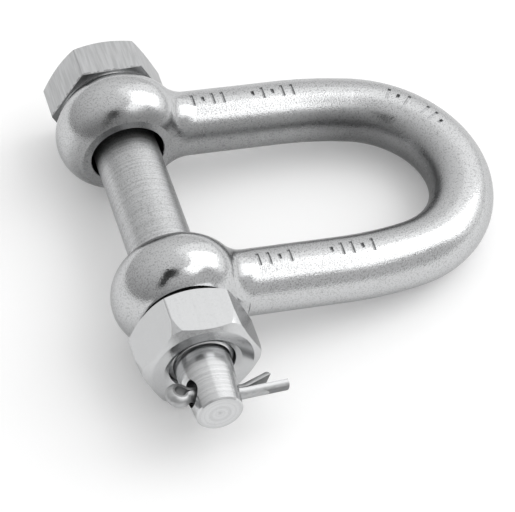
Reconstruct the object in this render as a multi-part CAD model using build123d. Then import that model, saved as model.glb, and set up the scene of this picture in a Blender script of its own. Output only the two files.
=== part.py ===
from build123d import *
import math
import os

# Dee shackle with a safety bolt, M8 size. Millimetres, +Z up.
# The origin is on the bolt's axis, midway between the two ears.
# +Y runs along the bolt to its head, +X points to the crown.
# The shackle lies on its ears and its crown, so the bow is tipped about Y, crown down.
# The loose bolt has dropped in its bores, so the bow's own axis is a little above the origin.

# Bow
BAR_D = 8.0             # round bar of the legs and the crown
LEG_Y = 13.5            # leg's centre line from the middle plane
LEG_START_X = 2.0       # legs start inside the ears
LEG_END_X = 20.5        # the straight part of the legs ends here
CROWN_X = 40.0          # centre line of the crown on the middle plane
CROWN_R = 12.8          # bend of the crown's tip, on the centre line
EAR_R = 8.0             # ear's largest radius about the bolt
EAR_T = 8.4             # ear's thickness between its flat faces
EAR_FACE_R = 5.7        # radius of each flat face
NECK_FILLET = 5.0       # blend from an ear to its leg
BORE_D = 9.2            # clearance hole for the bolt
BORE_CHAMFER = 0.08
BOLT_DROP = 0.45        # the bolt lies this far below the middle of its bores
RUNOUT_Y = 17.35        # the tool that faced the ears has just touched the legs
RUNOUT_INNER_R = 6.3
RUNOUT_R = 7.8

# Punched bars that stand in for the maker's stamping
MARK_DEPTH = 0.3
MARK_W = 0.42
MARK_LONG = 1.9
MARK_SHORT = 0.8
MARK_PITCH = 1.3
FAR_LEG_MARKS = (9.0, "LSLL  SLSLL")
NEAR_LEG_MARKS = (9.5, "LLSL   SLLSL")
CROWN_MARKS_DEG = (58.0, "LSL LLS")

# Bolt
SHANK_D = 8.0
SHANK_END_Y = -17.7
THREAD_D = 7.9          # M8
THREAD_ROOT_D = 6.7
THREAD_PITCH = 1.25
THREAD_START_Y = -18.5  # a relief groove parts the thread from the shank
THREAD_END_Y = -23.8
THREAD_LEAD = 0.4       # bevel at the thread's start
VEE_ROOT = 0.14         # groove's width at the thread's root
VEE_WIDTH = 1.2         # groove's width just outside the thread
VEE_PROUD = 0.17        # how far outside the thread that is
END_START_Y = -24.25    # the turned-down end starts here
END_D = 6.9             # its diameter there
END_TAPER_R = 2.78      # it tapers to this radius,
END_TAPER_Y = -31.6     # and its last edge is broken
END_FACE_R = 2.6
BOLT_END_Y = -31.8
CENTRE_MARK_R = 0.5     # left by the lathe's centre drill
CENTRE_MARK_DEPTH = 0.12
COLLAR_R = 6.35         # washer face under the head
COLLAR_Y = 17.8
HEAD_Y = 18.1
HEAD_T = 5.4
HEAD_TURN_DEG = -2.2
CROSS_HOLE_D = 3.2
CROSS_HOLE_Y = -28.8
CROSS_HOLE_EDGE = 0.25
MOUTH_R = 3.03          # the tapered end's radius at the hole

# Hexagon of the head and of the nut
HEX_AF = 13.0
HEX_FACE_R = 6.1        # radius that the bevel leaves flat on an end face
HEX_BEVEL_DEG = 30.0
HEX_CORNER_R = 0.25     # the long edges are slightly rounded

# Nut
NUT_INNER_Y = -18.2
NUT_T = 6.6
NUT_TURN_DEG = -4.2
NUT_BACK_BEVEL_DEG = 35.0
NUT_ROUND_START = (7.55, -21.2)     # worn corners: radius and y where the rounding starts,
NUT_ROUND_MIDDLE = (7.37, -22.95)   # half way
NUT_ROUND_END = (7.1, -24.35)       # and at the outer bevel
NUT_BORE_D = 8.06       # plain, clears the bolt's thread
NUT_SINK_R = 4.7
NUT_SINK_DEG = 30.0

# Split pin, in its own frame: U along the pin to the legs, V to the bolt's head
PIN_DOWN_DEG = 17.0     # the legs point this far below level
PIN_SKEW_DEG = 3.0      # the pin sits slightly askew in its hole
PIN_SLIP = 0.14         # and slightly to the legs' side
STRAND_R = 0.85
STRAND_GAP = 0.05       # half the gap between the two flat faces
EYE_R = 0.7             # inside radius of the eye
NECK_R = 1.2
NECK_U = -3.1
SPREAD_U = 3.3          # the legs start to spread here
SPREAD_R = 2.5
UPPER_LEG_DEG = 24.0
UPPER_LEG_L = 3.6
LOWER_LEG_DEG = 9.0
LOWER_LEG_L = 5.9

FUSE = 0.2              # fused pieces reach this far into each other
OVERRUN = 1.0           # cuts reach this far past a face

BAR_R = BAR_D / 2
REST_TIP_DEG = math.degrees(math.asin((EAR_R - BAR_R) / CROWN_X))
NUT_OUTER_Y = NUT_INNER_Y - NUT_T
TIP_CENTRE_X = CROWN_X - CROWN_R


def side_bend():
    """Radius of the side bends that join the legs to the crown's tip, and the angle they turn."""
    u = TIP_CENTRE_X - LEG_END_X
    radius = (LEG_Y ** 2 + u ** 2 - CROWN_R ** 2) / (2 * (LEG_Y - CROWN_R))
    angle = math.atan2(u, radius - LEG_Y)
    return radius, angle


def turned(points):
    """A solid of revolution about the bolt's axis, from (radius, y) points."""
    face = make_face(Polyline(*points, close=True))
    return revolve(face, Axis.Y)


def bow_path():
    """Centre line of the bar, from the far leg round the crown to the near leg."""
    radius, angle = side_bend()
    half = angle / 2
    joint = (LEG_END_X + radius * math.sin(angle), LEG_Y - radius + radius * math.cos(angle))
    middle = (LEG_END_X + radius * math.sin(half), LEG_Y - radius + radius * math.cos(half))
    far_leg = Line((LEG_START_X, LEG_Y), (LEG_END_X, LEG_Y))
    far_side = ThreePointArc((LEG_END_X, LEG_Y), middle, joint)
    tip = ThreePointArc(joint, (CROWN_X, 0), (joint[0], -joint[1]))
    near_side = ThreePointArc((joint[0], -joint[1]), (middle[0], -middle[1]), (LEG_END_X, -LEG_Y))
    near_leg = Line((LEG_END_X, -LEG_Y), (LEG_START_X, -LEG_Y))
    return Wire([far_leg.edge(), far_side.edge(), tip.edge(), near_side.edge(), near_leg.edge()])


def bar():
    """The round bar of both legs and the crown."""
    start = Plane(origin=(LEG_START_X, LEG_Y, 0), z_dir=(1, 0, 0))
    return sweep(start * Circle(BAR_R), path=bow_path())


def ear(side):
    """One barrel-shaped ear; side is +1 for the head's side and -1 for the nut's."""
    half = EAR_T / 2
    profile = [
        Line((0, -half), (EAR_FACE_R, -half)).edge(),
        ThreePointArc((EAR_FACE_R, -half), (EAR_R, 0), (EAR_FACE_R, half)).edge(),
        Line((EAR_FACE_R, half), (0, half)).edge(),
        Line((0, half), (0, -half)).edge(),
    ]
    barrel = revolve(make_face(Wire(profile)), Axis.Y)
    return Pos(0, side * LEG_Y, 0) * barrel


def ear_bore(side):
    """Clearance hole through one ear, chamfered at both faces."""
    half = EAR_T / 2
    r = BORE_D / 2
    c = BORE_CHAMFER
    points = [
        (0, -half - c), (r + 2 * c, -half - c), (r, -half + c),
        (r, half - c), (r + 2 * c, half + c), (0, half + c),
    ]
    return Pos(0, side * LEG_Y, 0) * turned(points)


def tool_runout(side):
    """Shallow cut where the tool that faced an ear has touched the leg's flank."""
    near = side * RUNOUT_Y
    far = side * (RUNOUT_Y + OVERRUN)
    return turned([(RUNOUT_INNER_R, near), (RUNOUT_R, near), (RUNOUT_R, far), (RUNOUT_INNER_R, far)])


def punch(length):
    """One punched bar, lying across the top of a bar along X."""
    depth = MARK_DEPTH + OVERRUN
    return Pos(0, 0, BAR_R - MARK_DEPTH + depth / 2) * Box(MARK_W, length, depth)


def mark_lengths(row):
    """Place number and length of each bar in a row such as "LSL"; a space is a gap."""
    sizes = {"L": MARK_LONG, "S": MARK_SHORT}
    return [(i, sizes[c]) for i, c in enumerate(row) if c in sizes]


def leg_marks(marks, side):
    """A row of punched bars along the top of one leg."""
    x0, row = marks
    return [Pos(x0 + i * MARK_PITCH, side * LEG_Y, 0) * punch(n) for i, n in mark_lengths(row)]


def crown_marks():
    """A row of punched bars round the top of the crown's tip."""
    first, row = CROWN_MARKS_DEG
    step = math.degrees(MARK_PITCH / CROWN_R)
    centre = Pos(TIP_CENTRE_X, 0, 0)
    out = []
    for i, n in mark_lengths(row):
        turn = first - i * step
        out.append(centre * Rot(0, 0, turn) * Pos(CROWN_R, 0, 0) * Rot(0, 0, 90) * punch(n))
    return out


def neck_edges(solid):
    """The edges where the ears meet the legs."""
    found = []
    for edge in solid.edges():
        box = edge.bounding_box()
        on_leg = box.min.X > LEG_START_X and box.max.X < EAR_R
        if on_leg and edge.length > BAR_R:
            found.append(edge)
    return found


def shackle_body():
    """The forged bow: bar, two ears, blended necks, bores and punched bars."""
    solid = bar() + ear(1) + ear(-1)
    solid = fillet(neck_edges(solid), NECK_FILLET)
    solid = solid - ear_bore(1) - ear_bore(-1) - tool_runout(1) - tool_runout(-1)
    for mark in leg_marks(FAR_LEG_MARKS, 1) + leg_marks(NEAR_LEG_MARKS, -1) + crown_marks():
        solid = solid - mark
    return Pos(0, 0, BOLT_DROP) * Rot(0, REST_TIP_DEG, 0) * solid


def hexagon(y_from, y_to, turn_deg):
    """A hexagonal prism along the bolt; turn_deg lifts the corner on +X towards +Z."""
    plane = Plane(origin=(0, y_from, 0), x_dir=(1, 0, 0), z_dir=(0, 1, 0))
    flat = RegularPolygon(radius=HEX_AF / 2, side_count=6, major_radius=False)
    flat = fillet(flat.vertices(), HEX_CORNER_R)
    return Rot(0, -turn_deg, 0) * extrude(plane * flat, amount=y_to - y_from)


def bevel_cone(y_face, inward, bevel_deg):
    """Envelope that bevels a hexagon's corners at the face y_face; inward is +1 or -1."""
    wide_r = HEX_AF
    y_wide = y_face + inward * (wide_r - HEX_FACE_R) * math.tan(math.radians(bevel_deg))
    y_back = y_face + inward * HEX_AF
    return turned([(0, y_face), (HEX_FACE_R, y_face), (wide_r, y_wide), (wide_r, y_back), (0, y_back)])


def bolt_head():
    """Hexagonal head, bevelled at its outer face, on a thin washer face."""
    outer_y = HEAD_Y + HEAD_T
    head = hexagon(HEAD_Y, outer_y, HEAD_TURN_DEG) & bevel_cone(outer_y, -1, HEX_BEVEL_DEG)
    collar = turned([(0, COLLAR_Y), (COLLAR_R, COLLAR_Y), (COLLAR_R, HEAD_Y + FUSE), (0, HEAD_Y + FUSE)])
    return head + collar


def bolt_shank():
    """Shank, relief groove and turned-down end; the thread is added round the end."""
    shank_r = SHANK_D / 2
    end_r = END_D / 2
    return turned([
        (0, COLLAR_Y + FUSE), (shank_r, COLLAR_Y + FUSE), (shank_r, SHANK_END_Y),
        (end_r, SHANK_END_Y), (end_r, END_START_Y), (END_TAPER_R, END_TAPER_Y), (END_FACE_R, BOLT_END_Y),
        (CENTRE_MARK_R, BOLT_END_Y), (0, BOLT_END_Y + CENTRE_MARK_DEPTH),
    ])


def thread_groove(y_from, length):
    """Helical V groove of the thread, running from y_from towards the bolt's end."""
    root_r = THREAD_ROOT_D / 2
    wide_r = THREAD_D / 2 + VEE_PROUD
    helix = Helix(pitch=THREAD_PITCH, height=length, radius=root_r)
    vee = Polyline(
        (root_r, -VEE_ROOT / 2), (wide_r, -VEE_WIDTH / 2), (wide_r, VEE_WIDTH / 2), (root_r, VEE_ROOT / 2),
        close=True,
    )
    groove = sweep(Plane.XZ * make_face(vee), path=Wire([helix.edge()]), is_frenet=True)
    return Pos(0, y_from, 0) * Rot(90, 0, 0) * groove


def bolt_thread():
    """The threaded length, cut from a longer grooved bar so that the groove runs out at both ends."""
    thread_r = THREAD_D / 2
    shank_r = SHANK_D / 2
    root_r = THREAD_ROOT_D / 2
    top = THREAD_START_Y + 2 * THREAD_PITCH
    bottom = END_START_Y - 2 * THREAD_PITCH
    grooved = turned([(0, top), (thread_r, top), (thread_r, bottom), (0, bottom)])
    grooved = grooved - thread_groove(top - THREAD_PITCH, top - bottom - 2 * THREAD_PITCH)
    envelope = turned([
        (0, THREAD_START_Y), (root_r, THREAD_START_Y), (shank_r, THREAD_START_Y - THREAD_LEAD),
        (shank_r, THREAD_END_Y), (root_r, END_START_Y), (0, END_START_Y),
    ])
    return grooved & envelope


def cross_hole():
    """Hole for the split pin, with its two mouths eased."""
    hole_r = CROSS_HOLE_D / 2
    height = 4 * CROSS_HOLE_EDGE
    cone = Cone(hole_r, hole_r + height, height, align=(Align.CENTER, Align.CENTER, Align.MIN))
    mouth = Pos(0, 0, MOUTH_R - CROSS_HOLE_EDGE) * cone
    both = Cylinder(hole_r, 2 * SHANK_D) + mouth + Rot(180, 0, 0) * mouth
    return Pos(0, CROSS_HOLE_Y, 0) * Rot(0, PIN_DOWN_DEG, 0) * Rot(0, 90, 0) * both


def safety_bolt():
    """The bolt in one piece."""
    return bolt_head() + bolt_shank() + bolt_thread() - cross_hole()


def nut_rounding():
    """Envelope that rounds the nut's corners towards its outer face."""
    y_back = NUT_INNER_Y + OVERRUN
    y_front = NUT_OUTER_Y - OVERRUN
    start_r = NUT_ROUND_START[0]
    end_r = NUT_ROUND_END[0]
    outline = [
        Line((0, y_back), (start_r, y_back)).edge(),
        Line((start_r, y_back), NUT_ROUND_START).edge(),
        ThreePointArc(NUT_ROUND_START, NUT_ROUND_MIDDLE, NUT_ROUND_END).edge(),
        Line(NUT_ROUND_END, (end_r, y_front)).edge(),
        Line((end_r, y_front), (0, y_front)).edge(),
        Line((0, y_front), (0, y_back)).edge(),
    ]
    return revolve(make_face(Wire(outline)), Axis.Y)


def hex_nut():
    """Hexagonal nut, bevelled and countersunk at both faces."""
    solid = hexagon(NUT_OUTER_Y, NUT_INNER_Y, NUT_TURN_DEG) & nut_rounding()
    solid = solid & bevel_cone(NUT_OUTER_Y, 1, HEX_BEVEL_DEG)
    solid = solid & bevel_cone(NUT_INNER_Y, -1, NUT_BACK_BEVEL_DEG)
    bore_r = NUT_BORE_D / 2
    sink_depth = (NUT_SINK_R - bore_r) * math.tan(math.radians(NUT_SINK_DEG))
    bore = turned([
        (0, NUT_INNER_Y + OVERRUN), (NUT_SINK_R, NUT_INNER_Y + OVERRUN), (NUT_SINK_R, NUT_INNER_Y),
        (bore_r, NUT_INNER_Y - sink_depth), (bore_r, NUT_OUTER_Y + sink_depth),
        (NUT_SINK_R, NUT_OUTER_Y), (NUT_SINK_R, NUT_OUTER_Y - OVERRUN), (0, NUT_OUTER_Y - OVERRUN),
    ])
    return solid - bore


def turned_point(point, centre, angle):
    """A (u, v) point turned about a centre."""
    du = point[0] - centre[0]
    dv = point[1] - centre[1]
    c = math.cos(angle)
    s = math.sin(angle)
    return (centre[0] + c * du - s * dv, centre[1] + s * du + c * dv)


def leg_path(sign, spread_deg, length):
    """Inner line of one leg: bend, then straight. Returned from the bend's start outwards."""
    start = (SPREAD_U, sign * STRAND_GAP)
    centre = (SPREAD_U, sign * STRAND_GAP + SPREAD_R)
    angle = math.radians(spread_deg)
    middle = turned_point(start, centre, angle / 2)
    end = turned_point(start, centre, angle)
    tip = (end[0] + length * math.cos(angle), end[1] + length * math.sin(angle))
    return start, middle, end, tip


def pin_path():
    """Inner line of the folded half-round wire, from one leg's tip round the eye to the other."""
    rise = math.sqrt((NECK_R + EYE_R) ** 2 - (STRAND_GAP + NECK_R) ** 2)
    eye = (NECK_U - rise, 0)
    neck = (NECK_U, STRAND_GAP + NECK_R)
    share = EYE_R / (EYE_R + NECK_R)
    touch = (eye[0] + share * (neck[0] - eye[0]), share * neck[1])
    neck_angle = math.atan2(rise, neck[1])
    neck_mid = turned_point((NECK_U, STRAND_GAP), neck, -neck_angle / 2)
    start_u, mid_u, end_u, tip_u = leg_path(1, UPPER_LEG_DEG, UPPER_LEG_L)
    start_l, mid_l, end_l, tip_l = leg_path(-1, LOWER_LEG_DEG, LOWER_LEG_L)
    pieces = [
        Line(tip_u, end_u),
        ThreePointArc(end_u, mid_u, start_u),
        Line(start_u, (NECK_U, STRAND_GAP)),
        ThreePointArc((NECK_U, STRAND_GAP), neck_mid, touch),
        ThreePointArc(touch, (eye[0] - EYE_R, 0), (touch[0], -touch[1])),
        ThreePointArc((touch[0], -touch[1]), (neck_mid[0], -neck_mid[1]), (NECK_U, -STRAND_GAP)),
        Line((NECK_U, -STRAND_GAP), start_l),
        ThreePointArc(start_l, mid_l, end_l),
        Line(end_l, tip_l),
    ]
    return Wire([piece.edge() for piece in pieces])


def split_pin():
    """Half-round wire folded into an eye and two spread legs."""
    path = pin_path()
    start = path @ 0
    along = path % 0
    outward = Vector(-along.Y, along.X, 0)
    if outward.Y < 0:
        outward = outward * -1
    section = Plane(origin=start, x_dir=outward, z_dir=along)
    half_disc = section * (Circle(STRAND_R) & Pos(STRAND_R, 0) * Rectangle(2 * STRAND_R, 2 * STRAND_R))
    wire = sweep(half_disc, path=path)
    placed = Pos(PIN_SLIP, 0, 0) * Rot(0, 0, PIN_SKEW_DEG) * wire
    return Pos(0, CROSS_HOLE_Y, 0) * Rot(0, PIN_DOWN_DEG, 0) * placed


os.makedirs("parts", exist_ok=True)
export_step(shackle_body(), "parts/shackle_body.step")
export_step(safety_bolt(), "parts/safety_bolt.step")
export_step(hex_nut(), "parts/hex_nut.step")
export_step(split_pin(), "parts/split_pin.step")
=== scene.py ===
import math

import bpy
from mathutils import Matrix, Vector


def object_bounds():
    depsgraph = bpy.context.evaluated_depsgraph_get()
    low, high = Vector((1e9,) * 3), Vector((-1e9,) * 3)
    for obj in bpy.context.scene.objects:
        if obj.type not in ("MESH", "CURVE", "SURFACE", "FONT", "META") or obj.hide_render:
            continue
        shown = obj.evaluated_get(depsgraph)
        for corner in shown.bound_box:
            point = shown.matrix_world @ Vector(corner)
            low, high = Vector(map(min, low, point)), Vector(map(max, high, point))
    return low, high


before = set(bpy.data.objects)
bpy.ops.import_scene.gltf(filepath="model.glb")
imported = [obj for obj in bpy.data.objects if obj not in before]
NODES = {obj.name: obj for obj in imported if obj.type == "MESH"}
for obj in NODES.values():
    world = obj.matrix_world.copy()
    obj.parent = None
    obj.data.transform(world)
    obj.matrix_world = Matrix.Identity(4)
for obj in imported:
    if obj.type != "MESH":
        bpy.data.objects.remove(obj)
cad_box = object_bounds()

MM_IN_METRE = 1000.0    # object coordinates are metres; the patterns below count in millimetres
MICRON = 1e-6

# Camera: angles in degrees, the azimuth from -Y towards +X; places in metres; sensor and lens in mm
CAMERA_AZIMUTH = -18.9
CAMERA_ELEVATION = 48.9
CAMERA_ROLL = 3.1
CAMERA_DISTANCE = 0.315
CAMERA_TARGET = Vector((0.0116, -0.0079, -0.00275))
CLIP_NEAR = 0.01
CLIP_FAR = 20.0
SENSOR = 36.0
LENS = 182.5

# Studio. The room's brightness is ROOM_LEVEL plus the part of the direction along ROOM_SLOPE.
ROOM_LEVEL = 0.57
ROOM_SLOPE = (0.19, 0.15, 0.33)
BACKDROP = 0.97
FLOOR_SIZE = 3.0
FLOOR_WHITE = 0.9
FLOOR_ROUGHNESS = 0.7
FLOOR_GLOW = 0.13       # the floor glows a little: painted light that lightens the shadows on it
CARD_DISTANCE = 0.9
CARD_STEP = 0.03        # each card stands this much further out than the one before it
# Each card: name, azimuth from +Y towards +X, elevation, half width and half height as seen from
# the part (all four in degrees), brightness
CARDS = [
    ("key_softbox", 86.0, 43.0, 17.0, 22.0, 2.8),
    ("key_spill", 74.0, 42.0, 33.0, 34.0, 1.3),
    ("top_strip", 131.0, 52.0, 15.0, 11.0, 2.1),
    ("grey_panel", 138.0, 20.0, 25.0, 21.0, 0.66),
]
HOOD_PLACE = Vector((-0.0214, -0.076, 0.0897))
HOOD_GREY = 0.02
# Seen from the part, in millimetres: right and up from HOOD_PLACE
HOOD_OUTLINE = [
    (-23, -2), (-21, 26), (-7, 35), (22, 35), (29, 20), (29, -4), (40, -46), (18, -50), (2, -11),
]

# From here on, places and lengths are in millimetres. A pair of them says where a pattern is absent
# and where it is full.

# Bow: its outline and the parts of it that are polished or dull
BOW_HALF_WIDTH = 13.45
BEND_START_X = 24.0
BEND_SQUASH = 0.84      # the bend's x scale: it is longer than a half circle
POLISHED_EARS_X = (10.0, 6.0)
BEND_X = (20.0, 30.0)
# Inner parts, which are rougher and carry painted shade, by how far they lie inside the bow's centre
# line
INNER_SIDE = (1.9, 3.9)
INNER_BEND = (0.7, 3.6)
INNER_WALL = (2.4, 3.9)
HIDDEN_ROUGHER = 0.1
# Painted shade: how much darker the inner side and the inner wall at the bend are made
INSIDE_SHADE_PAINT = 0.42
WALL_SHADE_PAINT = 0.26

# Punched bars, in the bow's own tipped axes; they lie on the legs and on the crown's tip
BOW_LIFT = 0.45
BOW_TIP = math.radians(5.739)
LEG_Y = 13.5
LEG_MARKS_X = 8.5
LEG_MARKS_END_X = 24.0
TIP_MARKS_X = 31.0
TIP_CENTRE_X = 27.2
TIP_R = 12.8
MARK_BOTTOM = (3.93, 3.78)      # from the bar's centre line; its round surface is at 4

# Bolt, along its axis
UNDER_HEAD_Y = 18.1
HEAD_FADE = 0.1
BURR_WIDTH = 0.06
COLLAR_R = 6.35
COLLAR_FADE = 0.05
END_Y = -24.2
END_FADE = 0.2

# Split pin
PIN_Y = -28.8
PIN_LEGS_X = 2.5
PIN_LEGS_FADE = 1.0
PIN_EYE = (-4.19, -29.04, 1.28)
PIN_EYE_R = 0.7
EYE_WALL = (0.3, 0.15)          # out from the eye's inner radius
PIN_DOWN = math.radians(17.0)
PIN_AXIS = (-math.cos(PIN_DOWN), 0, math.sin(PIN_DOWN))     # from the legs to the eye
FACING_INWARD = (-0.7, -0.9)    # y of the normal, times the side of the pin that it is on

METAL = (0.565, 0.57, 0.575)
EDGE_TINT = 0.75                # steel reflects a little less near grazing than a plain mirror
GRAIN = {"scale": 5.5, "detail": 1.5}   # the pitted grain of the bow and the bolt
ALL_NOISE = (0.3, 0.7)          # nearly all values of a noise lie between these


def link_object(made):
    bpy.context.scene.collection.objects.link(made)
    return made


def direction(azimuth, elevation, start=1):
    """Unit vector. The azimuth runs from +Y towards +X, or from -Y where start is -1."""
    a = math.radians(azimuth)
    e = math.radians(elevation)
    return Vector((math.sin(a) * math.cos(e), start * math.cos(a) * math.cos(e), math.sin(e)))


def add_node(tree, kind, inputs, output=0, **settings):
    """One node's output. A socket given as an input is linked; a number or vector is set."""
    made = tree.nodes.new(kind)
    for name, value in settings.items():
        setattr(made, name, value)
    for name, value in inputs.items():
        if isinstance(value, bpy.types.NodeSocket):
            tree.links.new(value, made.inputs[name])
        else:
            made.inputs[name].default_value = value
    return made.outputs[output]


def new_material(name):
    """A node material and its Principled shader."""
    material = bpy.data.materials.new(name)
    material.use_nodes = True
    return material, material.node_tree.nodes["Principled BSDF"]


def add_camera():
    """The scene's camera, looking at CAMERA_TARGET from the azimuth and elevation above."""
    back = direction(CAMERA_AZIMUTH, CAMERA_ELEVATION, start=-1)
    data = bpy.data.cameras.new("camera")
    data.sensor_width = SENSOR
    data.lens = LENS
    data.clip_start = CLIP_NEAR
    data.clip_end = CLIP_FAR
    camera = link_object(bpy.data.objects.new("camera", data))
    turn = (-back).to_track_quat("-Z", "Y").to_matrix().to_4x4()
    roll = Matrix.Rotation(math.radians(CAMERA_ROLL), 4, "Z")
    camera.matrix_world = Matrix.Translation(CAMERA_TARGET + back * CAMERA_DISTANCE) @ turn @ roll
    bpy.context.scene.camera = camera


def add_stage_piece(name, material_name, corners):
    """A flat piece of the studio with one face, and its shader."""
    mesh = bpy.data.meshes.new(name)
    mesh.from_pydata(corners, [], [tuple(range(len(corners)))])
    piece = link_object(bpy.data.objects.new(name, mesh))
    material, shader = new_material(material_name)
    mesh.materials.append(material)
    return piece, shader


def add_floor():
    """A plain pale table top under the part."""
    z = cad_box[0].z
    half = FLOOR_SIZE / 2
    corners = [(-half, -half, z), (half, -half, z), (half, half, z), (-half, half, z)]
    shader = add_stage_piece("floor", "pale_table", corners)[1]
    shader.inputs["Base Color"].default_value = (FLOOR_WHITE, FLOOR_WHITE, FLOOR_WHITE, 1)
    shader.inputs["Roughness"].default_value = FLOOR_ROUGHNESS
    shader.inputs["Emission Color"].default_value = (1, 1, 1, 1)
    shader.inputs["Emission Strength"].default_value = FLOOR_GLOW


def add_world():
    """A light tent: dimmer to the left and the front, brighter overhead; plain to the camera."""
    world = bpy.data.worlds.new("tent")
    world.use_nodes = True
    tree = world.node_tree
    where = add_node(tree, "ShaderNodeTexCoord", {}, "Generated")
    along = {0: where, 1: ROOM_SLOPE}
    slope = add_node(tree, "ShaderNodeVectorMath", along, "Value", operation="DOT_PRODUCT")
    level = add_node(tree, "ShaderNodeMath", {0: slope, 1: ROOM_LEVEL}, operation="ADD")
    to_camera = add_node(tree, "ShaderNodeLightPath", {}, "Is Camera Ray")
    seen = add_node(tree, "ShaderNodeMix", {"Factor": to_camera, "A": level, "B": BACKDROP}, "Result")
    background = tree.nodes["Background"]
    background.inputs["Color"].default_value = (1, 1, 1, 1)
    tree.links.new(seen, background.inputs["Strength"])
    bpy.context.scene.world = world


def add_card(name, azimuth, elevation, half_wide, half_high, brightness, distance):
    """A glowing panel of the studio, facing the part and out of the camera's sight."""
    towards = direction(azimuth, elevation)
    w = distance * math.tan(math.radians(half_wide))
    h = distance * math.tan(math.radians(half_high))
    corners = [(-w, -h, 0), (w, -h, 0), (w, h, 0), (-w, h, 0)]
    card, shader = add_stage_piece(name, name, corners)
    turn = towards.to_track_quat("Z", "Y").to_matrix().to_4x4()
    card.matrix_world = Matrix.Translation(towards * distance) @ turn
    card.visible_camera = False
    shader.inputs["Base Color"].default_value = (0, 0, 0, 1)
    shader.inputs["Specular IOR Level"].default_value = 0
    shader.inputs["Emission Color"].default_value = (1, 1, 1, 1)
    shader.inputs["Emission Strength"].default_value = brightness


def add_hood():
    """The dark thing near the camera that polished steel reflects; it casts no shadow."""
    corners = [(x / MM_IN_METRE, y / MM_IN_METRE, 0) for x, y in HOOD_OUTLINE]
    hood, shader = add_stage_piece("dark_hood", "dark_hood", corners)
    away = HOOD_PLACE.normalized()
    right = away.cross(Vector((0, 0, 1))).normalized()
    turn = Matrix((right, right.cross(away), -away)).transposed().to_4x4()
    hood.matrix_world = Matrix.Translation(HOOD_PLACE) @ turn
    hood.visible_camera = False
    hood.visible_diffuse = False
    hood.visible_shadow = False
    shader.inputs["Base Color"].default_value = (HOOD_GREY, HOOD_GREY, HOOD_GREY, 1)
    shader.inputs["Roughness"].default_value = 1.0


class Nodes:
    """Adds nodes to one material's tree. place, x, y and z are in millimetres."""

    def __init__(self, tree):
        self.tree = tree
        where = self.add("ShaderNodeTexCoord", {}, "Object")
        self.place = self.vector("MULTIPLY", where, (MM_IN_METRE, MM_IN_METRE, MM_IN_METRE))
        split = tree.nodes.new("ShaderNodeSeparateXYZ")
        tree.links.new(self.place, split.inputs["Vector"])
        self.x, self.y, self.z = split.outputs

    def add(self, kind, inputs, output=0, **settings):
        return add_node(self.tree, kind, inputs, output, **settings)

    def math(self, operation, a, b=0.0):
        return self.add("ShaderNodeMath", {0: a, 1: b}, operation=operation)

    def plus(self, a, b):
        return self.math("ADD", a, b)

    def minus(self, a, b):
        return self.math("SUBTRACT", a, b)

    def times(self, a, b):
        return self.math("MULTIPLY", a, b)

    def vector(self, operation, a, b, output=0):
        return self.add("ShaderNodeVectorMath", {0: a, 1: b}, output, operation=operation)

    def length(self, a, b):
        """Length of the vector (a, b)."""
        return self.math("SQRT", self.plus(self.times(a, a), self.times(b, b)))

    def ramp(self, value, low, high, at_low=0.0, at_high=1.0):
        """Smooth step of value from low to high."""
        inputs = {
            "Value": value, "From Min": low, "From Max": high, "To Min": at_low, "To Max": at_high,
        }
        return self.add("ShaderNodeMapRange", inputs, interpolation_type="SMOOTHSTEP")

    def mix(self, share, none, full):
        """The value none where share is 0, and full where it is 1."""
        return self.plus(self.times(self.minus(1.0, share), none), self.times(share, full))

    def noise(self, scale, detail, stretch=(1, 1, 1)):
        """Noise with about scale features in a millimetre, drawn out where stretch is below 1."""
        place = self.vector("MULTIPLY", self.place, stretch)
        return self.add("ShaderNodeTexNoise", {"Vector": place, "Scale": scale, "Detail": detail})

    def lines(self, along, scale, detail):
        """Noise that changes along one length only."""
        inputs = {"W": along, "Scale": scale, "Detail": detail}
        return self.add("ShaderNodeTexNoise", inputs, noise_dimensions="1D")

    def bump(self, height, microns, below=None):
        """Normal of the height pattern, on top of the one below."""
        inputs = {"Height": height, "Strength": 1.0, "Distance": microns * MICRON}
        if below is not None:
            inputs["Normal"] = below
        return self.add("ShaderNodeBump", inputs)


def steel(name):
    """A new steel: its material, a Nodes helper and its shader."""
    material, shader = new_material(name)
    shader.inputs["Metallic"].default_value = 1.0
    shader.inputs["Specular Tint"].default_value = (EDGE_TINT, EDGE_TINT, EDGE_TINT, 1)
    return material, Nodes(material.node_tree), shader


def finish_steel(n, shader, shade, rough, normal):
    """Links the patterns: shade multiplies the metal's colour."""
    colour = n.add("ShaderNodeVectorMath", {0: METAL, "Scale": shade}, operation="SCALE")
    n.tree.links.new(colour, shader.inputs["Base Color"])
    n.tree.links.new(rough, shader.inputs["Roughness"])
    n.tree.links.new(normal, shader.inputs["Normal"])


def inside_bow(n):
    """How far a point lies inside the bow's centre line, in millimetres; negative outside it."""
    past_bend_start = n.math("MAXIMUM", n.minus(n.x, BEND_START_X), 0.0)
    return n.minus(BOW_HALF_WIDTH, n.length(n.times(past_bend_start, BEND_SQUASH), n.y))


def mark_bottom_shade(n):
    """1 at the bottom of the punched bars, nearer the bar's centre line than its surface is; it
    carries painted shade.
    """
    cos = math.cos(BOW_TIP)
    sin = math.sin(BOW_TIP)
    z = n.minus(n.z, BOW_LIFT)
    along = n.minus(n.times(n.x, cos), n.times(z, sin))
    up = n.plus(n.times(n.x, sin), n.times(z, cos))
    leg = n.minus(n.math("ABSOLUTE", n.y), LEG_Y)
    tip = n.minus(n.length(n.minus(along, TIP_CENTRE_X), n.y), TIP_R)
    across = n.mix(n.math("GREATER_THAN", along, TIP_CENTRE_X), leg, tip)
    past_ear = n.math("GREATER_THAN", along, LEG_MARKS_X)
    on_leg = n.times(past_ear, n.math("LESS_THAN", along, LEG_MARKS_END_X))
    marked = n.math("MAXIMUM", on_leg, n.math("GREATER_THAN", along, TIP_MARKS_X))
    return n.times(marked, n.ramp(n.length(across, up), *MARK_BOTTOM))


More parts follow.
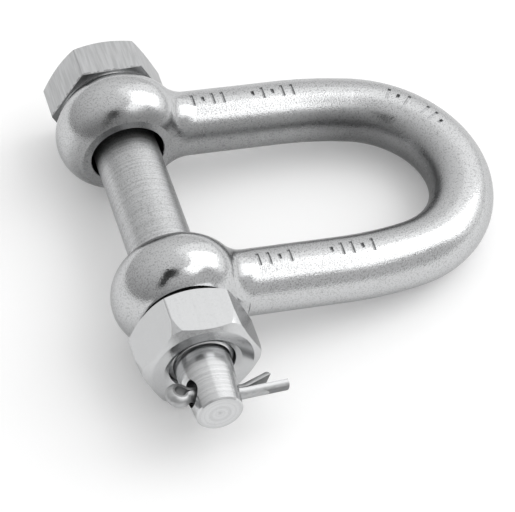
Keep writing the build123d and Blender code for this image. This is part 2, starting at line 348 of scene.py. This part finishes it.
def bow_steel():
    """Tumbled bow: satin bar with a pitted grain, polished ears; rougher inside, where painted shade
    darkens it.
    """
    material, n, shader = steel("bow_steel")
    polish = n.ramp(n.x, *POLISHED_EARS_X)
    bend = n.ramp(n.x, *BEND_X)
    inside = inside_bow(n)
    inner_bend = n.times(bend, n.ramp(inside, *INNER_BEND))
    inner_wall = n.times(bend, n.ramp(inside, *INNER_WALL))
    rough_shaded_inside = n.math("MAXIMUM", n.ramp(inside, *INNER_SIDE), inner_bend)
    fine = n.noise(**GRAIN)
    coarse = n.noise(scale=0.5, detail=3.0)
    specks = n.noise(scale=3.2, detail=3.0)

    rough = n.mix(polish, none=0.2, full=0.16)
    rough = n.plus(rough, n.ramp(coarse, low=0.35, high=0.65, at_low=-0.03, at_high=0.04))
    rough = n.plus(rough, n.times(rough_shaded_inside, HIDDEN_ROUGHER))

    pit_shade = n.mix(polish, none=0.76, full=0.78)
    pits = n.ramp(fine, low=0.34, high=0.5, at_low=pit_shade, at_high=1.02)
    pits = n.times(pits, n.ramp(specks, low=0.3, high=0.4, at_low=0.78))
    # painted shade on the inner side of the bow and on the inner wall at the bend
    painted_inside_shade = n.plus(n.times(rough_shaded_inside, INSIDE_SHADE_PAINT), n.times(inner_wall, WALL_SHADE_PAINT))
    shade = n.times(pits, n.minus(1.0, painted_inside_shade))
    # painted shade at the bottom of the punched bars
    shade = n.times(shade, n.mix(mark_bottom_shade(n), none=1.0, full=0.85))

    depth = n.mix(polish, none=1.0, full=0.55)
    grain = n.bump(n.times(fine, depth), microns=20.0)
    finish_steel(n, shader, shade, rough, n.bump(coarse, microns=12.0, below=grain))
    return material


def bolt_steel():
    """Turned shank and end, and a brushed head: an uneven dark burr line along its lower edge, and
    painted shade over its underside outside the collar.
    """
    material, n, shader = steel("bolt_steel")
    head = n.ramp(n.y, UNDER_HEAD_Y - HEAD_FADE, UNDER_HEAD_Y)
    end = n.ramp(n.y, END_Y + END_FADE, END_Y)
    radius = n.length(n.x, n.z)
    turned = n.lines(n.plus(n.y, radius), scale=2.3, detail=4.0)
    brushed = n.noise(scale=3.6, detail=5.0, stretch=(1.0, 0.08, 1.0))
    grain = n.noise(**GRAIN)
    chips = n.noise(scale=2.0, detail=3.0)

    rough = n.mix(end, none=n.mix(head, none=0.36, full=0.3), full=0.2)

    scratches = n.lines(n.y, scale=3.2, detail=3.0)
    scratches = n.ramp(scratches, low=0.38, high=0.58, at_low=0.9, at_high=1.05)
    shank = n.times(n.ramp(grain, low=0.36, high=0.5, at_low=0.74), scratches)
    rings = n.ramp(turned, low=0.36, high=0.64, at_low=1.0, at_high=1.14)
    rings = n.times(rings, n.ramp(grain, low=0.3, high=0.44, at_low=0.9))
    strokes = n.ramp(brushed, *ALL_NOISE, at_low=0.8, at_high=0.98)
    shade = n.mix(head, none=n.mix(end, none=shank, full=rings), full=strokes)

    # Darker along the head's lower edge: an uneven burr line on the flats, and painted shade over the
    # underside outside the collar
    uneven_y = n.plus(n.y, n.ramp(chips, low=0.42, high=0.6, at_low=-0.3, at_high=0.0))
    burr_and_under_head_shade = n.ramp(uneven_y, UNDER_HEAD_Y + BURR_WIDTH, UNDER_HEAD_Y)
    burr_and_under_head_shade = n.times(burr_and_under_head_shade, n.ramp(radius, COLLAR_R, COLLAR_R + COLLAR_FADE))
    shade = n.times(shade, n.mix(n.times(burr_and_under_head_shade, head), none=1.0, full=0.6))

    cut = n.times(turned, n.mix(end, none=0.8, full=0.5))
    strokes_and_cuts = n.bump(n.mix(head, none=cut, full=brushed), microns=10.0)
    pitting = n.times(grain, n.mix(end, none=1.0, full=0.15))
    finish_steel(n, shader, shade, rough, n.bump(pitting, microns=12.0, below=strokes_and_cuts))
    return material


def nut_steel():
    """Bright nut with faint milling lines along its flats and turned faces."""
    material, n, shader = steel("nut_steel")
    milled = n.noise(scale=2.0, detail=2.0, stretch=(1.0, 0.06, 1.0))
    grain = n.noise(scale=4.0, detail=3.0)
    rough = n.ramp(grain, *ALL_NOISE, at_low=0.16, at_high=0.24)
    shade = n.ramp(milled, *ALL_NOISE, at_low=1.03, at_high=1.05)
    shade = n.times(shade, n.ramp(grain, low=0.36, high=0.46, at_low=0.93))
    lines = n.bump(milled, microns=0.25)
    finish_steel(n, shader, shade, rough, n.bump(grain, microns=2.0, below=lines))
    return material


def pin_steel():
    """Drawn half-round wire, darker inside the eye and on the flat sides that face each other:
    painted shade there, with a duller surface.
    """
    material, n, shader = steel("pin_steel")
    grain = n.noise(scale=4.0, detail=1.5, stretch=(0.2, 1.0, 1.0))
    facing = n.add("ShaderNodeTexCoord", {}, "Normal")
    facing_y = n.add("ShaderNodeSeparateXYZ", {"Vector": facing}, "Y")
    side = n.math("SIGN", n.minus(n.y, PIN_Y))
    flats = n.ramp(n.times(side, facing_y), *FACING_INWARD)
    flats = n.times(flats, n.ramp(n.x, PIN_LEGS_X, PIN_LEGS_X + PIN_LEGS_FADE))
    eye_u = n.vector("DOT_PRODUCT", n.vector("SUBTRACT", n.place, PIN_EYE), PIN_AXIS, "Value")
    eye_v = n.minus(n.y, PIN_EYE[1])
    eye = n.ramp(n.length(eye_u, eye_v), PIN_EYE_R + EYE_WALL[0], PIN_EYE_R + EYE_WALL[1])
    inner_dull_and_shaded = n.math("MAXIMUM", flats, eye)
    rough = n.ramp(grain, *ALL_NOISE, at_low=0.4, at_high=0.5)
    shade = n.ramp(grain, *ALL_NOISE, at_low=0.74, at_high=0.88)
    # painted shade, with a duller surface, inside the eye and between the flat sides
    shade = n.times(shade, n.mix(inner_dull_and_shaded, none=1.0, full=0.5))
    finish_steel(n, shader, shade, rough, n.bump(grain, microns=1.5))
    return material


STEELS = {
    "shackle_body": bow_steel,
    "safety_bolt": bolt_steel,
    "hex_nut": nut_steel,
    "split_pin": pin_steel,
}
for name, node in NODES.items():
    node.data.materials.clear()
    node.data.materials.append(STEELS[name]())

add_floor()
add_world()
for i, card in enumerate(CARDS):
    add_card(*card, CARD_DISTANCE + i * CARD_STEP)
add_hood()
add_camera()
bpy.context.scene.view_settings.view_transform = "Standard"
